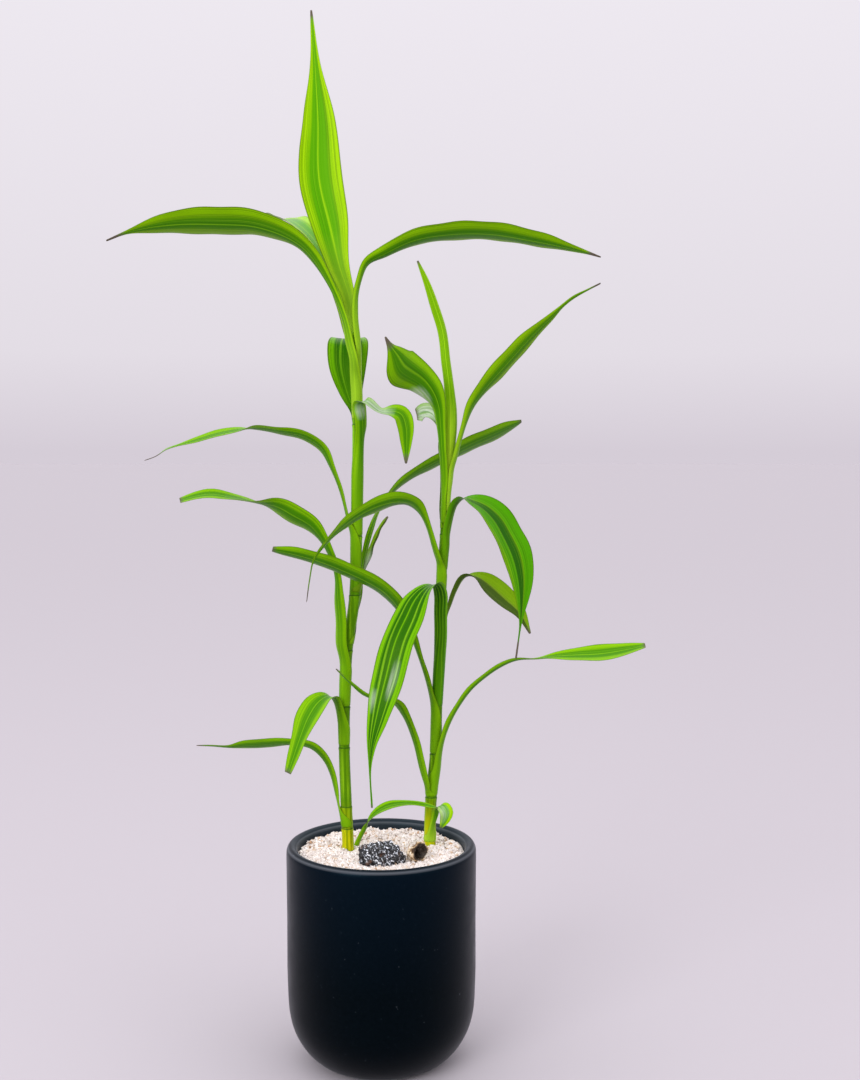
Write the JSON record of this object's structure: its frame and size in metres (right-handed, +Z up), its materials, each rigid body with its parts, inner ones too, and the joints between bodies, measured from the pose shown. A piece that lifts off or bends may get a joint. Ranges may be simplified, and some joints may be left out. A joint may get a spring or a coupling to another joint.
{
  "type": "potted lucky bamboo",
  "caption": "Potted lucky bamboo: slim green canes with long arching striped leaves, standing in pale gravel in a matte dark round-bottomed pot.",
  "frame": {"origin": "centre of the pot's flat foot, on the surface that it stands on", "axes": "+Z up along the pot's axis, -Y towards the plant's front, +X to the right seen from the front"},
  "size_m": [0.3293, 0.1824, 0.6611],
  "materials": {
    "pot": "matte",
    "gravel": "matte",
    "charcoal": "matte",
    "bark": "matte",
    "cane": "satin",
    "leaf": "satin",
    "young_leaf": "satin"
  },
  "bodies": {
    "root": {"pot": "pot", "gravel": "gravel", "charcoal": "charcoal", "bark_curl": "bark", "cane_left": "cane", "cane_right": "cane", "leaf_left_01": "leaf", "leaf_left_02": "leaf", "leaf_left_03": "leaf", "leaf_left_04": "leaf", "leaf_left_05": "leaf", "leaf_left_06": "leaf", "leaf_left_07": "leaf", "leaf_left_08": "leaf", "leaf_left_09": "leaf", "leaf_left_10": "leaf", "leaf_left_11": "leaf", "leaf_left_12": "leaf", "leaf_left_13": "young_leaf", "leaf_right_01": "young_leaf", "leaf_right_02": "leaf", "leaf_right_03": "leaf", "leaf_right_04": "leaf", "leaf_right_05": "leaf", "leaf_right_06": "leaf", "leaf_right_07": "leaf", "leaf_right_08": "leaf", "leaf_right_09": "leaf", "leaf_right_10": "leaf", "leaf_right_11": "leaf", "leaf_right_12": "young_leaf"}
  },
  "joints": []
}
